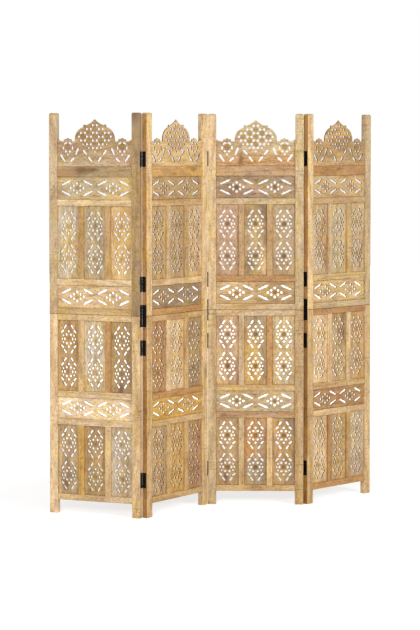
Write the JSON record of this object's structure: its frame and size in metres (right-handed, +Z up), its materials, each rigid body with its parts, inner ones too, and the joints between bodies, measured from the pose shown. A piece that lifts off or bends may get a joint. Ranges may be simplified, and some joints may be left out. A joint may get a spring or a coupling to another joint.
{
  "type": "carved room divider",
  "caption": "Folding wooden room divider: hinged panels of pierced, carved slats and friezes under a domed openwork crest, standing in a zigzag.",
  "frame": {"origin": "on the floor, under the middle of the footprint of the screen at the folds of the picture", "axes": "+X along the row of panels, so that both ends of the row lie on one line; +Y to the back; +Z up"},
  "size_m": [1.4377, 0.2791, 1.65],
  "materials": {
    "wood_panel_1_post": "sanded mango wood under a thin clear coat",
    "wood_panel_1_crest_board": "sanded mango wood under a thin clear coat",
    "wood_panel_1_friezes": "sanded mango wood under a thin clear coat",
    "wood_panel_1_carved_slats": "sanded mango wood under a thin clear coat",
    "wood_panel_1_mullions": "sanded mango wood under a thin clear coat",
    "wood_panel_1_rails": "sanded mango wood under a thin clear coat",
    "wood_panel_2_post": "sanded mango wood under a thin clear coat",
    "wood_panel_2_crest_board": "sanded mango wood under a thin clear coat",
    "wood_panel_2_friezes": "sanded mango wood under a thin clear coat",
    "wood_panel_2_carved_slats": "sanded mango wood under a thin clear coat",
    "wood_panel_2_mullions": "sanded mango wood under a thin clear coat",
    "wood_panel_2_rails": "sanded mango wood under a thin clear coat",
    "wood_panel_3_post": "sanded mango wood under a thin clear coat",
    "wood_panel_3_crest_board": "sanded mango wood under a thin clear coat",
    "wood_panel_3_friezes": "sanded mango wood under a thin clear coat",
    "wood_panel_3_carved_slats": "sanded mango wood under a thin clear coat",
    "wood_panel_3_mullions": "sanded mango wood under a thin clear coat",
    "wood_panel_3_rails": "sanded mango wood under a thin clear coat",
    "wood_panel_4_post": "sanded mango wood under a thin clear coat",
    "wood_panel_4_crest_board": "sanded mango wood under a thin clear coat",
    "wood_panel_4_friezes": "sanded mango wood under a thin clear coat",
    "wood_panel_4_carved_slats": "sanded mango wood under a thin clear coat",
    "wood_panel_4_mullions": "sanded mango wood under a thin clear coat",
    "wood_panel_4_rails": "sanded mango wood under a thin clear coat",
    "dowel_wood": "plain turned hardwood",
    "hinge_black": "black painted steel",
    "hinge_steel": "blackened steel"
  },
  "bodies": {
    "panel_1": {"panel_1_lower_left_post": "wood_panel_1_post", "panel_1_lower_right_post": "wood_panel_1_post", "panel_1_upper_left_post": "wood_panel_1_post", "panel_1_upper_right_post": "wood_panel_1_post", "panel_1_crest_board": "wood_panel_1_crest_board", "panel_1_friezes": "wood_panel_1_friezes", "panel_1_carved_slats": "wood_panel_1_carved_slats", "panel_1_mullions": "wood_panel_1_mullions", "panel_1_lower_rails": "wood_panel_1_rails", "panel_1_upper_rails": "wood_panel_1_rails", "panel_1_dowels": "dowel_wood", "fold_1_left_leaves": "hinge_black", "fold_1_pins": "hinge_steel", "fold_1_left_screws": "hinge_steel"},
    "panel_2": {"panel_2_lower_left_post": "wood_panel_2_post", "panel_2_lower_right_post": "wood_panel_2_post", "panel_2_upper_left_post": "wood_panel_2_post", "panel_2_upper_right_post": "wood_panel_2_post", "panel_2_crest_board": "wood_panel_2_crest_board", "panel_2_friezes": "wood_panel_2_friezes", "panel_2_carved_slats": "wood_panel_2_carved_slats", "panel_2_mullions": "wood_panel_2_mullions", "panel_2_lower_rails": "wood_panel_2_rails", "panel_2_upper_rails": "wood_panel_2_rails", "panel_2_dowels": "dowel_wood", "fold_1_right_leaves": "hinge_black", "fold_1_right_screws": "hinge_steel", "fold_2_left_leaves": "hinge_black", "fold_2_pins": "hinge_steel", "fold_2_left_screws": "hinge_steel"},
    "panel_3": {"panel_3_lower_left_post": "wood_panel_3_post", "panel_3_lower_right_post": "wood_panel_3_post", "panel_3_upper_left_post": "wood_panel_3_post", "panel_3_upper_right_post": "wood_panel_3_post", "panel_3_crest_board": "wood_panel_3_crest_board", "panel_3_friezes": "wood_panel_3_friezes", "panel_3_carved_slats": "wood_panel_3_carved_slats", "panel_3_mullions": "wood_panel_3_mullions", "panel_3_lower_rails": "wood_panel_3_rails", "panel_3_upper_rails": "wood_panel_3_rails", "panel_3_dowels": "dowel_wood", "fold_2_right_leaves": "hinge_black", "fold_2_right_screws": "hinge_steel", "fold_3_left_leaves": "hinge_black", "fold_3_pins": "hinge_steel", "fold_3_left_screws": "hinge_steel"},
    "panel_4": {"panel_4_lower_left_post": "wood_panel_4_post", "panel_4_lower_right_post": "wood_panel_4_post", "panel_4_upper_left_post": "wood_panel_4_post", "panel_4_upper_right_post": "wood_panel_4_post", "panel_4_crest_board": "wood_panel_4_crest_board", "panel_4_friezes": "wood_panel_4_friezes", "panel_4_carved_slats": "wood_panel_4_carved_slats", "panel_4_mullions": "wood_panel_4_mullions", "panel_4_lower_rails": "wood_panel_4_rails", "panel_4_upper_rails": "wood_panel_4_rails", "panel_4_dowels": "dowel_wood", "fold_3_right_leaves": "hinge_black", "fold_3_right_screws": "hinge_steel"}
  },
  "joints": [
    {"name": "fold_1", "type": "hinge", "parent": "panel_2", "child": "panel_1", "pos_m": [-0.39259, -0.11977, 0.8], "axis": [0, 0, 1], "range_deg": [-107.2, 72.8]},
    {"name": "fold_2", "type": "hinge", "parent": "panel_2", "child": "panel_3", "pos_m": [-0.04198, 0.0816, 0.8], "axis": [0, 0, 1], "range_deg": [-126.5, 53.5]},
    {"name": "fold_3", "type": "hinge", "parent": "panel_3", "child": "panel_4", "pos_m": [0.34515, -0.03503, 0.8], "axis": [0, 0, 1], "range_deg": [-45.9, 134.1]}
  ]
}
